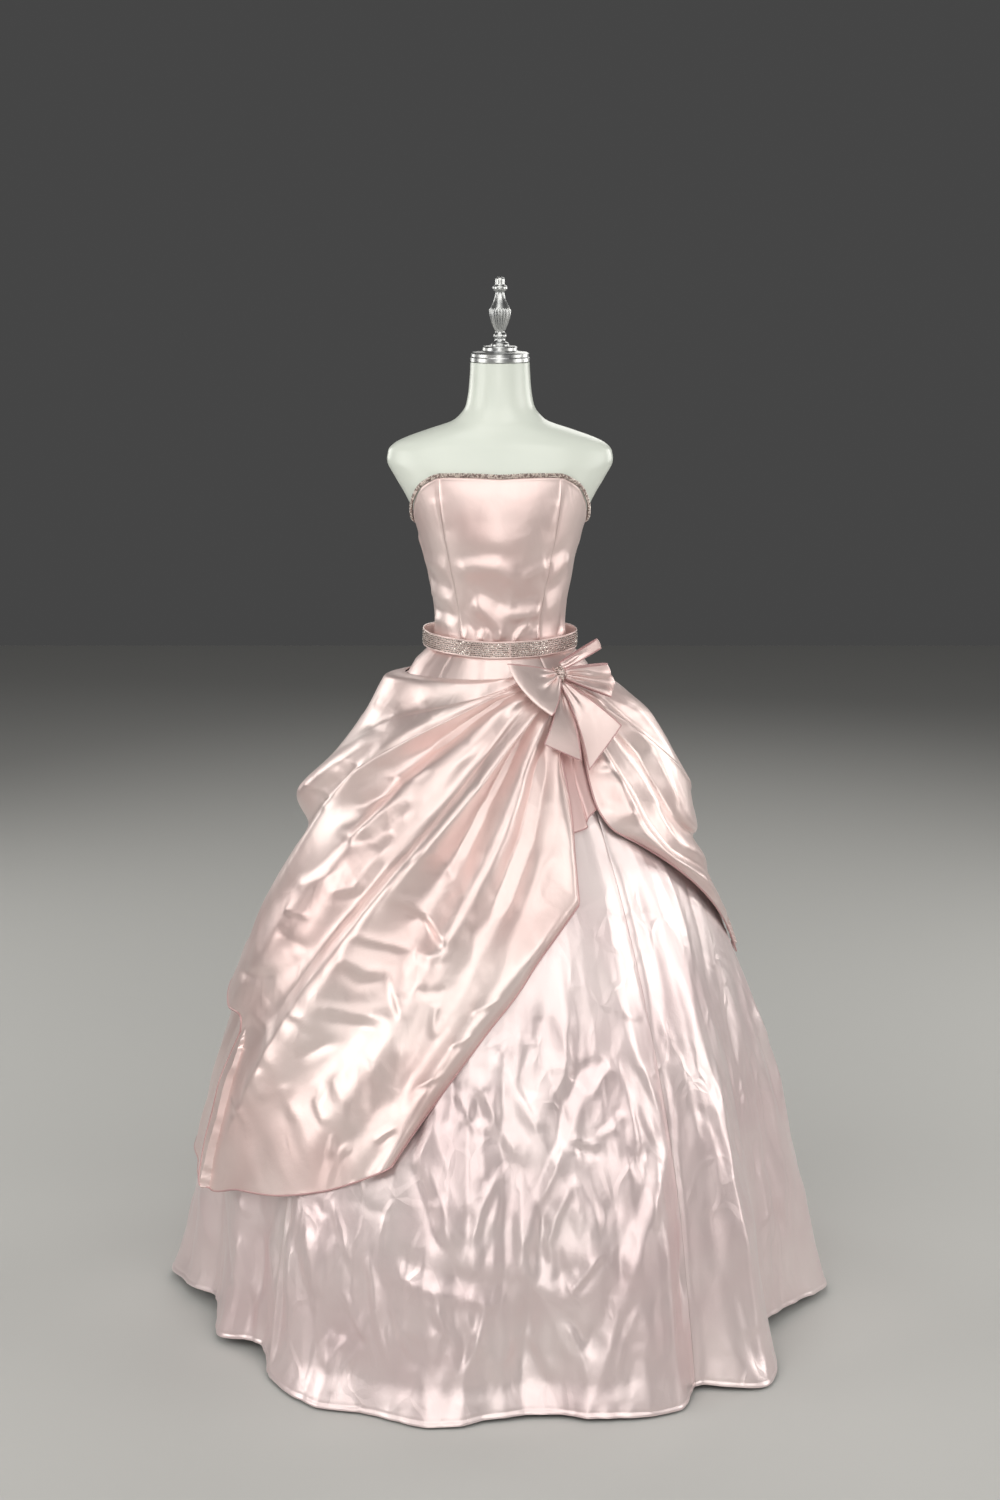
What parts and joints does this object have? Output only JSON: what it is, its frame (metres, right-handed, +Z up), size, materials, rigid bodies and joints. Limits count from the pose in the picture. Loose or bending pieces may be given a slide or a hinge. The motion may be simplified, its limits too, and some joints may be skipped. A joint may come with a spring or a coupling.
{
  "type": "ball gown on a limbless dress form",
  "caption": "Strapless satin ball gown with a gathered overskirt, side bow and beaded belt, standing on a limbless dress form.",
  "frame": {"origin": "centre of the base plate's underside, on the floor and on the pole's axis", "axes": "+Z up along the pole; the gown's front faces -Y; the wearer's left side is at +X"},
  "size_m": [1.1599, 1.1206, 1.7535],
  "materials": {
    "satin_pink": "dusty pink duchess satin, smooth with a soft sheen",
    "satin_pale": "pale silvery pink satin, crumpled, with a soft sheen",
    "stone_trim": "taupe ribbon and cord covered with small clear and grey beads and stones",
    "form_shell": "smooth pale painted shell, satin gloss",
    "silver": "polished silver coloured metal",
    "base_grey": "brushed steel plate"
  },
  "bodies": {
    "root": {"belt": "stone_trim", "bodice_back_left": "satin_pink", "bodice_back_right": "satin_pink", "bodice_centre_front": "satin_pink", "bodice_side_back_left": "satin_pink", "bodice_side_back_right": "satin_pink", "bodice_side_front_left": "satin_pink", "bodice_side_front_right": "satin_pink", "bow_knot": "stone_trim", "bow_loop_left": "satin_pink", "bow_loop_right": "satin_pink", "bow_loop_upper": "satin_pink", "bow_tail_back": "satin_pink", "bow_tail_front": "satin_pink", "form_base": "base_grey", "form_finial": "silver", "form_neck_cap": "silver", "form_pole": "silver", "form_torso": "form_shell", "neckline_cord": "stone_trim", "overskirt_back": "satin_pink", "overskirt_drape_right": "satin_pink", "overskirt_flounce": "satin_pink", "overskirt_swag_left": "satin_pink", "underskirt_back_left": "satin_pale", "underskirt_back_right": "satin_pale", "underskirt_front": "satin_pale", "underskirt_side_left": "satin_pale", "underskirt_side_right": "satin_pale"}
  },
  "joints": []
}
